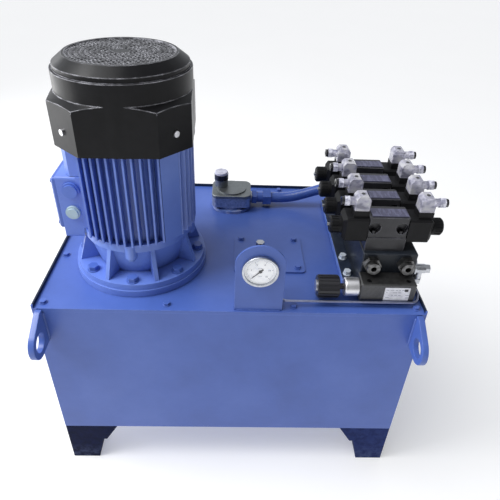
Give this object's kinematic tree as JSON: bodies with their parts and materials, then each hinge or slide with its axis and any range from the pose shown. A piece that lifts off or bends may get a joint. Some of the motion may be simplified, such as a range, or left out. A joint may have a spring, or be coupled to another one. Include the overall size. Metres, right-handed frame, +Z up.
{
  "type": "hydraulic power unit",
  "caption": "Hydraulic power unit: oil tank on feet with an upright finned motor and pump, return filter, gauge, relief valve and a manifold of solenoid valves.",
  "frame": {"origin": "on the floor at the centre of the four foot bolt holes", "axes": "+Z up, +X to the valve side, -Y to the front where the gauge is"},
  "size_m": [0.777, 0.638, 0.906],
  "materials": {
    "bezel_steel": "polished",
    "block_black": "black oxide",
    "cast_inner": "rough cast",
    "coil_black": "moulded",
    "copper_winding": "wound",
    "cowl_black": "gloss paint",
    "dark_screw": "black oxide",
    "entry_plastic": "moulded",
    "fan_plastic": "moulded",
    "filter_alloy": "cast",
    "filter_paper": "pleated",
    "fitting_steel": "zinc plated",
    "gland_black": "moulded",
    "guide_zinc": "turned",
    "indicator_black": "moulded",
    "knob_black": "moulded",
    "motor_blue": "satin paint",
    "nut_black": "moulded",
    "pipe_blue": "gloss paint",
    "plate_silver": "brushed",
    "plug_clear": "moulded translucent",
    "pointer_black": "lacquered",
    "relief_iron": "phosphated",
    "screw_blue": "satin paint",
    "seal_navy": "matte",
    "shaft_steel": "ground",
    "sight_frame": "moulded",
    "tank_blue": "satin paint",
    "tube_steel": "drawn",
    "valve_black": "satin paint"
  },
  "bodies": {
    "unit": {"bell_housing": "motor_blue", "cable_entries": "entry_plastic", "cleaning_cover": "tank_blue", "din_glands": "gland_black", "din_plugs": "plug_clear", "drain_plug": "fitting_steel", "feet_front": "tank_blue", "feet_rear": "tank_blue", "filler_breather": "tank_blue", "filter_cap": "filter_alloy", "filter_element": "filter_paper", "filter_head": "filter_alloy", "filter_indicator": "indicator_black", "flange_bolts": "screw_blue", "gauge_bracket": "tank_blue", "gauge_case": "bezel_steel", "gauge_fittings": "fitting_steel", "gauge_tube": "tube_steel", "level_sight": "sight_frame", "lid_screws": "screw_blue", "lid_seal": "seal_navy", "lugs_front": "tank_blue", "lugs_rear": "tank_blue", "manifold_block": "block_black", "manifold_fittings": "fitting_steel", "manifold_riser": "tank_blue", "motor_bearings": "shaft_steel", "motor_cowl": "cowl_black", "motor_frame": "motor_blue", "motor_screws": "dark_screw", "motor_shield_front": "motor_blue", "motor_shield_rear": "cast_inner", "motor_stator": "copper_winding", "pressure_pipe": "fitting_steel", "pump_body": "cast_inner", "relief_body": "relief_iron", "relief_guide": "guide_zinc", "return_fittings": "fitting_steel", "return_pipe": "pipe_blue", "socket_screws": "dark_screw", "suction_strainer": "fitting_steel", "tank_lid": "tank_blue", "tank_shell": "tank_blue", "terminal_box": "motor_blue", "terminal_box_lid": "motor_blue", "valve_bodies": "valve_black", "valve_coils": "coil_black", "valve_end_nuts": "nut_black", "valve_nameplates": "plate_silver"},
    "rotor": {"motor_rotor": "shaft_steel", "motor_fan": "fan_plastic", "coupling": "cast_inner", "pump_drive_gear": "shaft_steel"},
    "idler_gear": {"pump_driven_gear": "shaft_steel"},
    "relief_adjuster": {"relief_knob": "knob_black"},
    "gauge_needle": {"gauge_pointer": "pointer_black"},
    "spool_1": {"spool_train_1": "shaft_steel"},
    "spool_2": {"spool_train_2": "shaft_steel"},
    "spool_3": {"spool_train_3": "shaft_steel"},
    "spool_4": {"spool_train_4": "shaft_steel"}
  },
  "joints": [
    {"name": "motor_spin", "type": "hinge", "parent": "unit", "child": "rotor", "pos_m": [-0.193, -0.08, 0.48], "axis": [0, 0, 1], "continuous": true},
    {"name": "idler_spin", "type": "hinge", "parent": "unit", "child": "idler_gear", "pos_m": [-0.193, -0.05, 0.305], "axis": [0, 0, 1], "continuous": true},
    {"name": "relief_turn", "type": "hinge", "parent": "unit", "child": "relief_adjuster", "pos_m": [0.2, -0.206, 0.511], "axis": [1, 0, 0], "range_deg": [-720, 720]},
    {"name": "needle_turn", "type": "hinge", "parent": "unit", "child": "gauge_needle", "pos_m": [0.05, -0.248, 0.575], "axis": [0, 1, 0], "range_deg": [0, 270], "stiffness_Nm_per_rad": 0.0005},
    {"name": "spool_1_shift", "type": "slide", "parent": "unit", "child": "spool_1", "axis": [1, 0, 0], "range_m": [-0.003, 0.003], "stiffness_N_per_m": 5000},
    {"name": "spool_2_shift", "type": "slide", "parent": "unit", "child": "spool_2", "axis": [1, 0, 0], "range_m": [-0.003, 0.003], "stiffness_N_per_m": 5000},
    {"name": "spool_3_shift", "type": "slide", "parent": "unit", "child": "spool_3", "axis": [1, 0, 0], "range_m": [-0.003, 0.003], "stiffness_N_per_m": 5000},
    {"name": "spool_4_shift", "type": "slide", "parent": "unit", "child": "spool_4", "axis": [1, 0, 0], "range_m": [-0.003, 0.003], "stiffness_N_per_m": 5000}
  ],
  "couplings": [
    {"joint": "idler_spin", "follows": "motor_spin", "ratio": -1}
  ]
}
